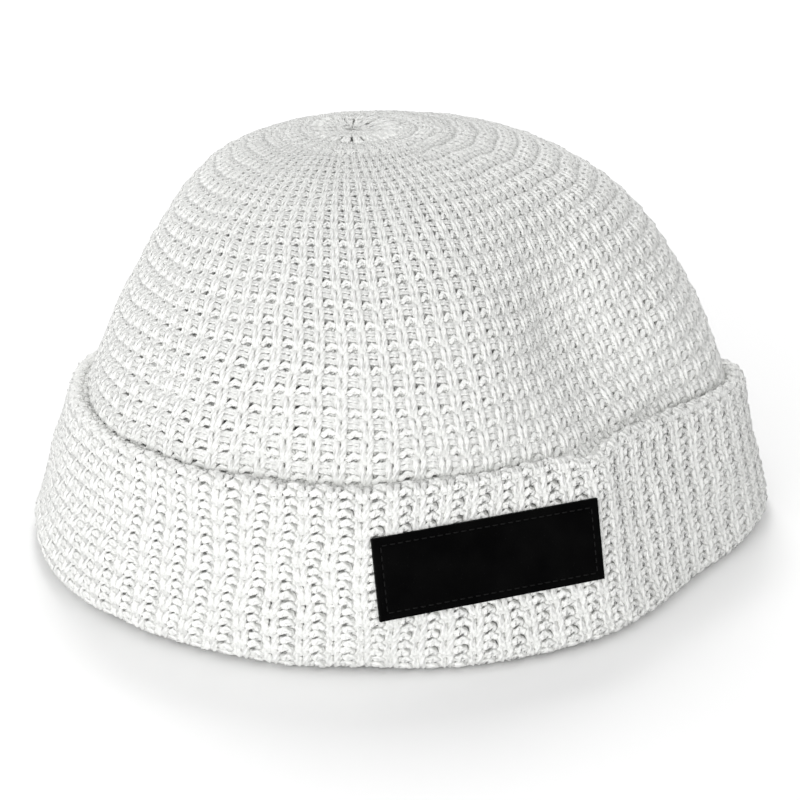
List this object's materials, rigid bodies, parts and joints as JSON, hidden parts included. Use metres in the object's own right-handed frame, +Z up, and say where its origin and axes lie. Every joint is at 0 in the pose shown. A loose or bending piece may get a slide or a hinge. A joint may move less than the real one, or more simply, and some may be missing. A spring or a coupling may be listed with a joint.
{
  "type": "watch cap",
  "caption": "Short ribbed knit cap with a gathered crown, a wide turned-up cuff and a bare leather patch sewn on its front.",
  "frame": {"origin": "on the surface that the cap stands on, under the middle of its plan at the foot of the cuff", "axes": "+Z up through the crown, -Y towards the front, where the patch is sewn a little towards +X"},
  "size_m": [0.2073, 0.1943, 0.113],
  "materials": {
    "white_knit": "chunky open rib knit of soft off-white yarn, matt",
    "black_leather": "smooth black leather with a fine grain, low sheen"
  },
  "bodies": {
    "root": {"crown": "white_knit", "cuff": "white_knit", "leather_patch": "black_leather"}
  },
  "joints": []
}
